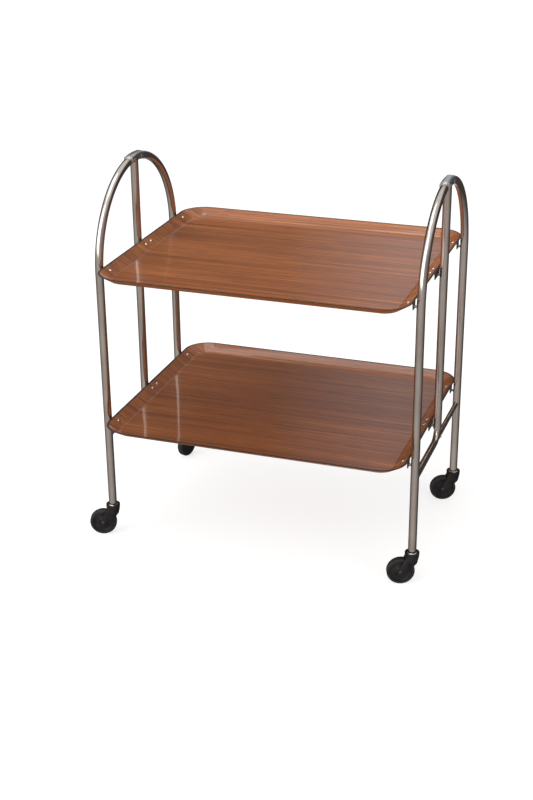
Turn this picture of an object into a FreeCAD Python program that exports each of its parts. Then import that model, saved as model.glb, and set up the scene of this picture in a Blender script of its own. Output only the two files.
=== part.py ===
"""Two-tier serving trolley: hooped tube ends, pressed wood trays and four swivel casters.

Units are millimetres. +Z is up, +X runs along the trays and -Y is the front.
The origin is on the floor, under the middle of the object as it stands.
"""
import FreeCAD
import Part
import math
import os

# ---- driving dimensions ----
hoop_spacing = 620.0        # between the two end frames, centre to centre
leg_spacing = 360.0         # between the front and rear leg of one end frame
crown_height = 735.0        # tube centre at the top of the arch
tube_radius = 8.0
tube_wall = 1.5
centre_shift = 16.27        # moves the frame so that the standing object is centred over the origin

tray_length = 600.0
tray_depth = 498.0
tray_height = 16.0
tray_flare = 25.0           # how far the walls lean out over that height
tray_corner = 52.0
tray_skin = 2.5
upper_rim_height = 571.0
lower_rim_height = 261.0

wheel_radius = 27.0
wheel_width = 14.0
caster_trail = 21.0
caster_turn = {             # direction in which each wheel trails, degrees from +X
    "front_left": 200.0,
    "front_right": 200.0,
    "rear_left": 75.0,
    "rear_right": 200.0,
}

# ---- sizes that follow from them ----
arch_radius = leg_spacing / 2
arch_height = crown_height - arch_radius
bore_radius = tube_radius - tube_wall
leg_bottom = 63.5
stretcher_height = 222.0
front_stretcher_radius = 6.4
rear_stretcher_radius = 5.0
foot_bend = 24.0            # bend radius where the front stretcher turns up into the post
post_bottom = stretcher_height + foot_bend - 2.0
wall_slope = math.atan2(tray_height, tray_flare)
bracket_gauge = 1.5
stud_radius = 2.5
stud_drop = 12.0            # from a tray's rim down to the studs that carry it
rivet_radius = 1.5
crown_rivet_angle = 5.0     # each side of the crown, along the arch
stem_radius = 4.0
running_gap = 0.05

V = FreeCAD.Vector
X_AXIS = V(1, 0, 0)
Y_AXIS = V(0, 1, 0)
Z_AXIS = V(0, 0, 1)
ENDS = (("left", -1), ("right", 1))
SIDES = (("front", -1), ("rear", 1))


def save(name, shape):
    """Shift a finished node to the frame's origin and write it."""
    moved = shape.copy()
    moved.translate(V(centre_shift, 0, 0))
    if not moved.isValid():
        print("INVALID", name)
    moved.exportStep("parts/" + name + ".step")


def rod(start, end, radius):
    """Solid round bar between two points."""
    run = end - start
    return Part.makeCylinder(radius, run.Length, start, run)


def pipe(edges, radius):
    """Solid round bar along a path of lines and arcs that starts with a straight run."""
    path = Part.Wire(edges)
    start = edges[0].Vertexes[0].Point
    heading = edges[0].tangentAt(edges[0].FirstParameter)
    section = Part.Wire(Part.makeCircle(radius, start, heading))
    return path.makePipeShell([section], True, False)


def prism(points, depth_vector):
    """Extrude a closed outline, given as points in one plane."""
    face = Part.Face(Part.makePolygon(points + [points[0]]))
    return face.extrude(depth_vector)


# ---- end frames ----
def hoop_path(x, side):
    """One leg and its quarter of the arch, from the floor end to the crown."""
    y = side * leg_spacing / 2
    middle = arch_radius * math.sqrt(0.5)
    leg = Part.LineSegment(V(x, y, leg_bottom), V(x, y, arch_height)).toShape()
    arch = Part.Arc(V(x, y, arch_height), V(x, side * middle, arch_height + middle), V(x, 0, crown_height))
    return [leg, arch.toShape()]


def stud_places(x):
    """Every point on one end frame where a tray stud enters a tube."""
    places = []
    for rim in (upper_rim_height, lower_rim_height):
        for y in (-leg_spacing / 2, 0, leg_spacing / 2):
            places.append(V(x, y, rim - stud_drop))
    return places


def stud_cuts(x, end):
    """Round holes in the inner walls of the tubes of one end frame."""
    holes = [rod(place, place - X_AXIS * end * 12, stud_radius) for place in stud_places(x)]
    return Part.makeCompound(holes)


def crown_rivet_rods(x, reach, radius):
    """Two cross rods through the crown, one in each quarter of the arch."""
    rods = []
    for side in (-1, 1):
        angle = math.radians(crown_rivet_angle) * side
        y = arch_radius * math.sin(angle)
        z = arch_height + arch_radius * math.cos(angle)
        rods.append(rod(V(x - reach, y, z), V(x + reach, y, z), radius))
    return rods


def hoop_half(x, end, side):
    """Hollow leg with its quarter arch, drilled for the tray studs and crown rivets."""
    edges = hoop_path(x, side)
    tube = pipe(edges, tube_radius).cut(pipe(edges, bore_radius))
    tube = tube.cut(stud_cuts(x, end))
    return tube.cut(Part.makeCompound(crown_rivet_rods(x, 20, rivet_radius)))


def arch_sector(section_points, x, half_angle):
    """Revolve a section, given as (sideways, outward) points, along the crown of the arch."""
    outline = [V(x + sideways, 0, crown_height + outward) for sideways, outward in section_points]
    face = Part.Face(Part.makePolygon(outline + [outline[0]]))
    centre = V(x, 0, arch_height)
    face.rotate(centre, X_AXIS, -half_angle)
    return face.revolve(centre, X_AXIS, 2 * half_angle)


def arch_bar(x, radius, half_angle):
    """Round bar along the crown of the arch."""
    centre = V(x, 0, arch_height)
    face = Part.Face(Part.Wire(Part.makeCircle(radius, V(x, 0, crown_height), Y_AXIS)))
    face.rotate(centre, X_AXIS, -half_angle)
    return face.revolve(centre, X_AXIS, 2 * half_angle)


def crown_cap(x):
    """Sheet saddle over the joint of the two arch quarters, flat on top."""
    half_width = tube_radius + 1.6
    section = [(-half_width, -3), (-half_width, 7), (-7, 9.6), (7, 9.6), (half_width, 7), (half_width, -3)]
    cap = arch_sector(section, x, 8.0)
    cap = cap.cut(arch_bar(x, tube_radius, 9.0))
    groove = arch_sector([(-tube_radius, -4), (-tube_radius, 0), (tube_radius, 0), (tube_radius, -4)], x, 9.0)
    cap = cap.cut(groove)
    return cap.cut(Part.makeCompound(crown_rivet_rods(x, 20, rivet_radius)))


def crown_plug(x):
    """Curved bar inside the arch that keeps both quarters in line."""
    plug = arch_bar(x, bore_radius, 7.0)
    return plug.cut(Part.makeCompound(crown_rivet_rods(x, 20, rivet_radius)))


def crown_rivets(x):
    """Cross rivets with a low head on each side of the cap."""
    face_reach = tube_radius + 1.6
    shanks = crown_rivet_rods(x, face_reach, rivet_radius)
    rivets = []
    for shank in shanks:
        box = shank.BoundBox
        middle = V(x, box.Center.y, box.Center.z)
        for direction in (-1, 1):
            seat = middle + X_AXIS * direction * face_reach
            head = Part.makeCone(2.8, 1.6, 1.1, seat, X_AXIS * direction)
            shank = shank.fuse(head)
        rivets.append(shank.removeSplitter())
    return Part.makeCompound(rivets)


def centre_post(x, end):
    """Upright tube from under the crown down to the stretchers."""
    top = V(x, 0, crown_height)
    bottom = V(x, 0, post_bottom)
    post = rod(bottom, top, tube_radius).cut(rod(bottom, top, bore_radius))
    post = post.cut(arch_bar(x, tube_radius, 9.0))
    upper = max(post.Solids, key=lambda solid: solid.Volume)
    return upper.cut(stud_cuts(x, end))


def front_stretcher_path(x):
    """From the front leg, level, then up into the lower end of the post."""
    z = stretcher_height
    bend_end = z + foot_bend
    half = foot_bend * math.sqrt(0.5)
    level = Part.LineSegment(V(x, -leg_spacing / 2, z), V(x, -foot_bend, z)).toShape()
    bend = Part.Arc(V(x, -foot_bend, z), V(x, half - foot_bend, bend_end - half), V(x, 0, bend_end))
    rise = Part.LineSegment(V(x, 0, bend_end), V(x, 0, bend_end + 26)).toShape()
    return [level, bend.toShape(), rise]


def front_stretcher(x, end):
    """Thinner tube that braces the front leg and plugs into the post, where a tray stud pins it."""
    edges = front_stretcher_path(x)
    tube = pipe(edges, front_stretcher_radius).cut(pipe(edges, front_stretcher_radius - 1.2))
    leg = rod(V(x, -leg_spacing / 2, 0), V(x, -leg_spacing / 2, arch_height), tube_radius)
    return tube.cut(leg).cut(stud_cuts(x, end))


def rear_stretcher(x):
    """Thin tube that braces the rear leg and slips over the foot spigot."""
    start = V(x, -foot_bend / 2, stretcher_height)
    end = V(x, leg_spacing / 2, stretcher_height)
    tube = rod(start, end, rear_stretcher_radius).cut(rod(start, end, rear_stretcher_radius - 1.2))
    leg = rod(V(x, leg_spacing / 2, 0), V(x, leg_spacing / 2, arch_height), tube_radius)
    tube = tube.cut(leg).cut(pipe(front_stretcher_path(x), front_stretcher_radius))
    tube = max(tube.Solids, key=lambda solid: solid.Volume)
    return tube.cut(foot_rivet_shank(x))


def foot_rivet_shank(x):
    place = V(x, 11, stretcher_height)
    return rod(place - X_AXIS * 20, place + X_AXIS * 20, rivet_radius)


def foot_spigot(x):
    """Bar welded to the front stretcher's bend, inside the rear stretcher."""
    bar = rod(V(x, -foot_bend / 2, stretcher_height), V(x, 26, stretcher_height), rear_stretcher_radius - 1.2)
    bar = bar.cut(pipe(front_stretcher_path(x), front_stretcher_radius))
    bar = max(bar.Solids, key=lambda solid: solid.Volume)
    return bar.cut(foot_rivet_shank(x))


def foot_rivet(x):
    """Cross rivet through the rear stretcher and its spigot."""
    place = V(x, 11, stretcher_height)
    reach = X_AXIS * (rear_stretcher_radius + 0.1)
    rivet = rod(place - reach, place + reach, rivet_radius)
    for direction in (-1, 1):
        head = Part.makeCone(2.8, 1.5, 1.4, place + reach * direction, X_AXIS * direction)
        rivet = rivet.fuse(head)
    return rivet.removeSplitter()


# ---- trays ----
def rounded_rectangle(length, depth, corner, z):
    """Closed wire with four quarter-round corners."""
    hx = length / 2
    hy = depth / 2
    ix = hx - corner
    iy = hy - corner
    d = corner * math.sqrt(0.5)
    edges = [
        Part.LineSegment(V(-ix, -hy, z), V(ix, -hy, z)),
        Part.Arc(V(ix, -hy, z), V(ix + d, -iy - d, z), V(hx, -iy, z)),
        Part.LineSegment(V(hx, -iy, z), V(hx, iy, z)),
        Part.Arc(V(hx, iy, z), V(ix + d, iy + d, z), V(ix, hy, z)),
        Part.LineSegment(V(ix, hy, z), V(-ix, hy, z)),
        Part.Arc(V(-ix, hy, z), V(-ix - d, iy + d, z), V(-hx, iy, z)),
        Part.LineSegment(V(-hx, iy, z), V(-hx, -iy, z)),
        Part.Arc(V(-hx, -iy, z), V(-ix - d, -iy - d, z), V(-ix, -hy, z)),
    ]
    return Part.Wire([edge.toShape() for edge in edges])


def dish(inset, floor_z, top_z, rim_z):
    """Solid block of the tray's form; its walls lean out to meet the rim."""
    wires = []
    for z in (floor_z, top_z):
        shrink = inset + (rim_z - z) / math.tan(wall_slope)
        length = tray_length - 2 * shrink
        depth = tray_depth - 2 * shrink
        wires.append(rounded_rectangle(length, depth, tray_corner - shrink, z))
    return Part.makeLoft(wires, True, True)


def rivet_rows():
    """Places along a tray's short side where a rivet holds a bracket."""
    return (-leg_spacing / 2, -12.0, 12.0, leg_spacing / 2)


def wall_rivet_shanks(rim_z):
    """Rivet shanks square to the leaning walls of both short sides."""
    shanks = []
    half_way = tray_flare / 2
    for end in (-1, 1):
        for y in rivet_rows():
            seat = V(end * (tray_length / 2 - half_way), y, rim_z - half_way * math.tan(wall_slope))
            inward = V(-end * math.sin(wall_slope), 0, math.cos(wall_slope))
            shanks.append((seat, inward))
    return shanks


def tray(rim_z):
    """Pressed wood tray: a flat floor inside four leaning walls."""
    wall_offset = tray_skin / math.sin(wall_slope)
    outer = dish(0, rim_z - tray_height, rim_z, rim_z)
    inner = dish(wall_offset, rim_z - tray_height + tray_skin, rim_z + 1, rim_z)
    shell = outer.cut(inner)
    holes = [rod(seat - inward * 4, seat + inward * 8, rivet_radius) for seat, inward in wall_rivet_shanks(rim_z)]
    return shell.cut(Part.makeCompound(holes))


def tray_rivets(rim_z):
    """Domed rivets through the walls of one tray and its brackets."""
    rivets = []
    for seat, inward in wall_rivet_shanks(rim_z):
        shank = rod(seat - inward * bracket_gauge, seat + inward * tray_skin, rivet_radius)
        dome = Part.makeCone(3.4, 2.2, 1.2, seat + inward * tray_skin, inward)
        tail = Part.makeCone(2.6, 2.0, 0.9, seat - inward * bracket_gauge, inward * -1)
        rivets.append(shank.fuse(dome).fuse(tail).removeSplitter())
    return Part.makeCompound(rivets)


def bracket(end, y, width, rim_z):
    """Folded steel tab: one leaf along the tray's wall, the other upright beside the tube."""
    edge = tray_length / 2
    rise = math.tan(wall_slope)
    toe = 20.0                  # in from the tray's end to the lower end of the wall leaf
    fold = 4.0                  # in from the tray's end to the inner face of the upright leaf
    under_x = bracket_gauge * math.sin(wall_slope)
    under_z = bracket_gauge * math.cos(wall_slope)
    profile = [
        (edge - toe, -toe * rise),
        (edge - fold, -fold * rise),
        (edge - fold + bracket_gauge, -fold * rise),
        (edge - fold + bracket_gauge, -18),
        (edge - fold, -18),
        (edge - fold, -fold * rise - bracket_gauge / math.cos(wall_slope)),
        (edge - toe + under_x, -toe * rise - under_z),
    ]
    points = [V(end * px, y - width / 2, rim_z + pz) for px, pz in profile]
    tab = prism(points, Y_AXIS * width)
    place = V(end * edge, y, rim_z - stud_drop)
    return tab.cut(rod(place - X_AXIS * end * 8, place + X_AXIS * end * 8, stud_radius))


def drilled(shape, rim_z):
    holes = [rod(seat - inward * 6, seat + inward * 8, rivet_radius) for seat, inward in wall_rivet_shanks(rim_z)]
    return shape.cut(Part.makeCompound(holes))


def studs(x, end):
    """Round studs from the brackets into the tubes of one end frame."""
    pins = []
    for place in stud_places(x):
        bracket_x = end * (tray_length / 2 - 4)
        tip_x = x - end * (bore_radius - 2)
        shank = rod(V(bracket_x, 0, 0) + V(0, place.y, place.z), V(tip_x, place.y, place.z), stud_radius)
        head = Part.makeCylinder(3.6, 1.6, V(bracket_x, place.y, place.z), X_AXIS * -end)
        pins.append(shank.fuse(head).removeSplitter())
    return Part.makeCompound(pins)


# ---- casters, built on the stem's axis with the wheel trailing towards +X ----
def revolve_section(points):
    """Turn a closed (radius, height) outline about the stem's axis."""
    outline = [V(radius, 0, z) for radius, z in points]
    face = Part.Face(Part.makePolygon(outline + [outline[0]]))
    return face.revolve(V(0, 0, 0), Z_AXIS, 360)


def leg_sleeve():
    """Flanged steel sleeve pressed into the leg; its rim shows as a bright ring."""
    inner = stem_radius + running_gap
    points = [
        (inner, leg_bottom - 1.5),
        (10.0, leg_bottom - 1.5),
        (10.0, leg_bottom + 3.0),
        (tube_radius, leg_bottom + 3.0),
        (tube_radius, leg_bottom),
        (bore_radius, leg_bottom),
        (bore_radius, 104.0),
        (inner, 104.0),
    ]
    return revolve_section(points)


def stem():
    """Steel pin that turns in the sleeve; its head sits under the housing's roof."""
    points = [(0, 53.5), (5.5, 53.5), (5.5, 55.5), (stem_radius, 55.5), (stem_radius, 101.0), (3.0, 102.0), (0, 102.0)]
    return revolve_section(points)


def cheek_outline(y):
    """Side plate of the housing: from the cup's flank down to the axle boss."""
    points = [(-9, 58), (-9, 47), (16.6, 22.3), (26.6, 30.4), (9, 54), (9, 58)]
    return [V(px, y, pz) for px, pz in points]


def housing():
    """Black cup over the leg's end, with a hood and two cheeks that hold the axle."""
    cup = Part.makeCylinder(14, 23, V(0, 0, 44))
    cup = cup.makeFillet(1.2, [edge for edge in cup.Edges if abs(edge.BoundBox.ZMin - 67) < 0.01 and edge.Length > 50])
    axle_place = V(caster_trail, 0, wheel_radius)
    body = cup
    for y in (7.6, -10.6):
        cheek = prism(cheek_outline(y), Y_AXIS * 3)
        boss = Part.makeCylinder(6.2, 3, V(caster_trail, y, wheel_radius), Y_AXIS)
        body = body.fuse(cheek).fuse(boss)
    wheel_room = Part.makeCylinder(wheel_radius + 1.5, 15.2, axle_place - Y_AXIS * 7.6, Y_AXIS)
    body = body.cut(wheel_room)
    body = body.cut(Part.makeCylinder(5.5, 12, V(0, 0, 43.5)))
    body = body.cut(Part.makeCylinder(stem_radius, 30, V(0, 0, 50)))
    body = body.cut(Part.makeCylinder(10.6, 10, V(0, 0, 61)))
    body = body.cut(Part.makeCylinder(3.0, 40, axle_place - Y_AXIS * 20, Y_AXIS))
    return max(body.removeSplitter().Solids, key=lambda solid: solid.Volume)


def axle():
    """Steel axle pressed into both cheeks, with low heads."""
    centre = V(caster_trail, 0, wheel_radius)
    bar = Part.makeCylinder(3.0, 21.2, centre - Y_AXIS * 10.6, Y_AXIS)
    for direction in (-1, 1):
        head = Part.makeCone(4.4, 3.2, 1.2, centre + Y_AXIS * direction * 10.6, Y_AXIS * direction)
        bar = bar.fuse(head)
    return bar.removeSplitter()


def about_axle(points):
    """Turn a closed (radius, sideways) outline about the wheel's axle."""
    outline = [V(caster_trail, sideways, wheel_radius + radius) for radius, sideways in points]
    face = Part.Face(Part.makePolygon(outline + [outline[0]]))
    return face.revolve(V(caster_trail, 0, wheel_radius), Y_AXIS, 360)


def wheel_hub():
    """Moulded disc that runs on the axle, thicker at its middle."""
    bore = 3.0 + running_gap
    rim = wheel_radius - 5.5
    half = wheel_width / 2
    profile = [(bore, half), (8, half), (11, half - 1.5), (rim, half - 1.5)]
    mirrored = [(radius, -sideways) for radius, sideways in reversed(profile)]
    return about_axle(profile + mirrored)


def tyre():
    """Soft tread ring with rounded shoulders, moulded onto the disc."""
    rim = wheel_radius - 5.5
    half = wheel_width / 2
    profile = [(rim, half), (wheel_radius - 2.4, half), (wheel_radius - 0.7, half - 0.9), (wheel_radius, half - 2.8)]
    mirrored = [(radius, -sideways) for radius, sideways in reversed(profile)]
    return about_axle(profile + mirrored)


def build_end_frames():
    for end_name, end in ENDS:
        x = end * hoop_spacing / 2
        for side_name, side in SIDES:
            save(end_name + "_" + side_name + "_leg_tube", hoop_half(x, end, side))
        save(end_name + "_centre_post", centre_post(x, end))
        save(end_name + "_front_stretcher", front_stretcher(x, end))
        save(end_name + "_rear_stretcher", rear_stretcher(x))
        save(end_name + "_foot_spigot", foot_spigot(x))
        save(end_name + "_foot_rivet", foot_rivet(x))
        save(end_name + "_crown_cap", crown_cap(x))
        save(end_name + "_crown_plug", crown_plug(x))
        save(end_name + "_crown_rivets", crown_rivets(x))
        save(end_name + "_tray_studs", studs(x, end))


def build_trays():
    for tray_name, rim_z in (("upper", upper_rim_height), ("lower", lower_rim_height)):
        save(tray_name + "_tray", tray(rim_z))
        save(tray_name + "_tray_rivets", tray_rivets(rim_z))
        for end_name, end in ENDS:
            corners = [drilled(bracket(end, side * leg_spacing / 2, 18, rim_z), rim_z) for side in (-1, 1)]
            save(tray_name + "_" + end_name + "_corner_brackets", Part.makeCompound(corners))
            save(tray_name + "_" + end_name + "_centre_bracket", drilled(bracket(end, 0, 40, rim_z), rim_z))


def build_casters():
    pieces = {
        "leg_sleeve": leg_sleeve(),
        "caster_stem": stem(),
        "caster_housing": housing(),
        "wheel_axle": axle(),
        "wheel_hub": wheel_hub(),
        "tyre": tyre(),
    }
    for end_name, end in ENDS:
        for side_name, side in SIDES:
            corner = side_name + "_" + end_name
            for piece_name, shape in pieces.items():
                placed = shape.copy()
                placed.rotate(V(0, 0, 0), Z_AXIS, caster_turn[corner])
                placed.translate(V(end * hoop_spacing / 2, side * leg_spacing / 2, 0))
                save(corner + "_" + piece_name, placed)


os.makedirs("parts", exist_ok=True)
build_end_frames()
build_trays()
build_casters()
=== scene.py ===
"""Two-tier serving trolley: hooped chromed tube ends, pressed wood trays and four swivel casters.

Units are metres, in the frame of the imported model: +Z up, +X along the trays, -Y the front.
"""
import math

import bmesh
import bpy
import numpy as np
from mathutils import Matrix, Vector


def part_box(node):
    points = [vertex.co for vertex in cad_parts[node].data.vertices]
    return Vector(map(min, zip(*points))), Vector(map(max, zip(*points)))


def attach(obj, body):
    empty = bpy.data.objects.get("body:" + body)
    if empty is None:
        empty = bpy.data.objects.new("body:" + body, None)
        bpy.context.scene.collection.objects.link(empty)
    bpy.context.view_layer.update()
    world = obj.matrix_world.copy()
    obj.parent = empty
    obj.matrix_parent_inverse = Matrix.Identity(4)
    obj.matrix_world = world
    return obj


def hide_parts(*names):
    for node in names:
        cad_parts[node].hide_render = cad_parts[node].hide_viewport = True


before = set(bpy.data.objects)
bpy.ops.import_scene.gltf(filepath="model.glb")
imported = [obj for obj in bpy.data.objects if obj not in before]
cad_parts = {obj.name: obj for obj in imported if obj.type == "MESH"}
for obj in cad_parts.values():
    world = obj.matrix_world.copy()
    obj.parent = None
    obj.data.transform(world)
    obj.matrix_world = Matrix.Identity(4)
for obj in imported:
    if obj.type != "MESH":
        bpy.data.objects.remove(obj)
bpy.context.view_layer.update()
MM = 0.001
ENDS = (("left", -1), ("right", 1))
SIDES = (("front", -1), ("rear", 1))

# ---- leg tubes ----
# Each end frame is two steel tubes, bent to a quarter circle at the top so that the pair forms an arch.
# They are drawn tube, chromed; years of use leave the chrome warm grey, with a soft cloudiness.


def closed_mesh(name, shells, smooth_angle=35):
    """One mesh object from grids of points. The columns of a grid always wrap round. Its rows wrap too
    ("loop"), or its first and last row are filled with a face ("faces") or shrink to a point ("poles")."""
    vertices = []
    faces = []
    start = 0
    for points, closing in shells:
        rows, columns = points.shape[:2]
        index = start + np.arange(rows * columns).reshape(rows, columns)
        start += rows * columns
        vertices.append(points.reshape(-1, 3))
        after = np.roll(index, -1, axis=0) if closing == "loop" else index[1:]
        before = index if closing == "loop" else index[:-1]
        quads = [before, after, np.roll(after, -1, axis=1), np.roll(before, -1, axis=1)]
        faces += np.stack(quads, axis=-1).reshape(-1, 4).tolist()
        if closing == "faces":
            faces += [index[0].tolist(), index[-1][::-1].tolist()]
    mesh = bpy.data.meshes.new(name)
    mesh.from_pydata(np.concatenate(vertices).tolist(), [], faces)
    work = bmesh.new()
    work.from_mesh(mesh)
    bmesh.ops.remove_doubles(work, verts=work.verts, dist=0.002 * MM)
    bmesh.ops.recalc_face_normals(work, faces=work.faces)
    work.to_mesh(mesh)
    work.free()
    mesh.shade_smooth()
    mesh.set_sharp_from_angle(angle=math.radians(smooth_angle))
    piece = bpy.data.objects.new(name, mesh)
    bpy.context.scene.collection.objects.link(piece)
    return piece


def fit_piece(piece, material, body, slot, *nodes):
    """Give a piece its finish, the body it rides on and the CAD nodes it stands for."""
    piece.data.materials.append(material)
    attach(piece, body)
    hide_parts(*nodes)


def material_nodes(name):
    """A new material with its node tree, its shader and a lookup of Object coordinates."""
    material = bpy.data.materials.new(name)
    material.use_nodes = True
    nodes = material.node_tree.nodes
    shader = nodes["Principled BSDF"]
    place = nodes.new("ShaderNodeTexCoord")
    return material, nodes, material.node_tree.links, shader, place.outputs["Object"]


def stretched_noise(nodes, links, place, scale, detail, roughness=0.55):
    """Noise whose grain is scaled by a different amount along each axis."""
    mapping = nodes.new("ShaderNodeMapping")
    mapping.inputs["Scale"].default_value = scale
    noise = nodes.new("ShaderNodeTexNoise")
    noise.inputs["Scale"].default_value = 1.0
    noise.inputs["Detail"].default_value = detail
    noise.inputs["Roughness"].default_value = roughness
    links.new(place, mapping.inputs["Vector"])
    links.new(mapping.outputs["Vector"], noise.inputs["Vector"])
    return noise.outputs["Fac"]


def colour_ramp(nodes, links, value, stops):
    """Colours along a 0 to 1 value."""
    ramp = nodes.new("ShaderNodeValToRGB")
    elements = ramp.color_ramp.elements
    for stop_index, (position, colour) in enumerate(stops):
        stop = elements[stop_index] if stop_index < 2 else elements.new(position)
        stop.position = position
        stop.color = (*colour, 1)
    links.new(value, ramp.inputs["Fac"])
    return ramp.outputs["Color"]


def number_range(nodes, links, value, low, high, start=0.3, end=0.7):
    """Spread a value between two numbers."""
    spread = nodes.new("ShaderNodeMapRange")
    spread.inputs["From Min"].default_value = start
    spread.inputs["From Max"].default_value = end
    spread.inputs["To Min"].default_value = low
    spread.inputs["To Max"].default_value = high
    links.new(value, spread.inputs["Value"])
    return spread.outputs["Result"]


def surface_bump(nodes, links, value, shader, distance, strength=1.0):
    """Raise the surface by a value, up to a distance."""
    bump = nodes.new("ShaderNodeBump")
    bump.inputs["Strength"].default_value = strength
    bump.inputs["Distance"].default_value = distance
    links.new(value, bump.inputs["Height"])
    links.new(bump.outputs["Normal"], shader.inputs["Normal"])


def worn_chrome():
    """Chrome plate: cloudy patches change its colour and gloss, with fine pits in the plate."""
    material, nodes, links, shader, place = material_nodes("worn chrome")
    cloud = stretched_noise(nodes, links, place, (38, 38, 16), 5)
    pits = stretched_noise(nodes, links, place, (900, 900, 900), 2)
    tint = colour_ramp(nodes, links, cloud, [(0.32, (0.50, 0.455, 0.42)), (0.62, (0.60, 0.555, 0.52))])
    links.new(tint, shader.inputs["Base Color"])
    links.new(number_range(nodes, links, cloud, 0.07, 0.14), shader.inputs["Roughness"])
    shader.inputs["Metallic"].default_value = 1.0
    surface_bump(nodes, links, pits, shader, 0.004 * MM)
    return material


def tube_along(path, outer, bore, around=48):
    """A round tube along a path that lies in an upright plane across the trolley. Every ring is a circle
    square to the path; the wall runs out along the path and the bore runs back."""
    heading = np.gradient(path, axis=0)
    heading /= np.linalg.norm(heading, axis=1, keepdims=True)
    sideways = np.array([1.0, 0.0, 0.0])
    upright = np.cross(sideways, heading)
    turn = np.linspace(0, 2 * np.pi, around, endpoint=False)[None, :, None]
    circle = np.cos(turn) * sideways + np.sin(turn) * upright[:, None, :]
    wall = path[:, None, :] + outer * circle
    inside = path[:, None, :] + bore * circle
    return np.concatenate([wall, inside[::-1]])


def points_at(x, y, z):
    """A list of points from matching lists, or single numbers, of x, y and z."""
    return np.stack(np.broadcast_arrays(x, y, z), axis=-1).astype(float)


chrome = worn_chrome()
leg_low, leg_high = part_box("left_front_leg_tube")
TUBE = (leg_high.x - leg_low.x) / 2
WALL = 1.5 * MM
LEG_BOTTOM = leg_low.z
LEG_Y = -(leg_low.y + TUBE)
CROWN = leg_high.z - TUBE
ARCH = CROWN - LEG_Y
END_X = {}
for end_name, end in ENDS:
    low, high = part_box(end_name + "_front_leg_tube")
    END_X[end_name] = (low.x + high.x) / 2
    for side_name, side in SIDES:
        bend = np.linspace(0, np.pi / 2, 73)
        straight_z = np.linspace(LEG_BOTTOM, ARCH, 25)[:-1]
        leg = points_at(END_X[end_name], side * LEG_Y, straight_z)
        arch_quarter = points_at(END_X[end_name], side * LEG_Y * np.cos(bend), ARCH + LEG_Y * np.sin(bend))
        tube = tube_along(np.concatenate([leg, arch_quarter]), TUBE, TUBE - WALL)
        node = end_name + "_" + side_name + "_leg_tube"
        fit_piece(closed_mesh(node + "_bent", [(tube, "loop")]), chrome, "frame", "chromed_tube", node)

# ---- centre posts ----
# An upright tube stands under the crown of each arch. Its top is coped to the arch and brazed all round,
# which leaves a thin bright bead; its lower end takes the front stretcher.


def bead_ring(seam, outward, along, size):
    """A thin round bead that follows a closed seam, with its circle in the outward and along directions."""
    turn = np.linspace(0, 2 * np.pi, 12, endpoint=False)[None, :, None]
    return seam[:, None, :] + size * (np.cos(turn) * outward[:, None, :] + np.sin(turn) * along)


BEAD = 1.1 * MM
post_turn = np.linspace(0, 2 * np.pi, 48, endpoint=False)
for end_name, end in ENDS:
    low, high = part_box(end_name + "_centre_post")
    across = TUBE * np.cos(post_turn)
    depth = TUBE * np.sin(post_turn)
    arch_inner = LEG_Y - np.sqrt(np.maximum(TUBE ** 2 - across ** 2, 0))
    cope = ARCH + np.sqrt(arch_inner ** 2 - depth ** 2)
    outward = points_at(np.cos(post_turn), np.sin(post_turn), 0)
    levels = np.linspace(0, 1, 30)[:, None]
    overlap = 0.4 * MM
    post_z = low.z + levels * (cope[None, :] + overlap - low.z)
    wall = points_at(END_X[end_name] + across[None, :], depth[None, :], post_z)
    bore_share = (TUBE - WALL) / TUBE
    bore = points_at(END_X[end_name] + bore_share * across[None, :], bore_share * depth[None, :], post_z)
    tube = np.concatenate([wall, bore[::-1]])
    seam = points_at(END_X[end_name] + across, depth, cope)
    bead = bead_ring(seam, outward, np.array([0.0, 0.0, 1.0]), BEAD)
    post = closed_mesh(end_name + "_centre_post_coped", [(tube, "loop"), (bead, "loop")])
    fit_piece(post, chrome, "frame", "chromed_tube", end_name + "_centre_post")

# ---- stretchers ----
# Near the foot a level tube joins each front leg and sweeps up into the post, and a thinner one runs back
# to the rear leg. Both are brazed to the legs; the rear one is riveted over a spigot at the bend.


def leg_seam(x, side, height, radius):
    """Where a level tube of a given radius meets the round face of a leg."""
    turn = np.linspace(0, 2 * np.pi, 40, endpoint=False)
    across = radius * np.cos(turn)
    y = side * (LEG_Y - np.sqrt(TUBE ** 2 - across ** 2))
    seam = points_at(x + across, y, height + radius * np.sin(turn))
    return seam, points_at(np.cos(turn), 0, np.sin(turn))


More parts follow.
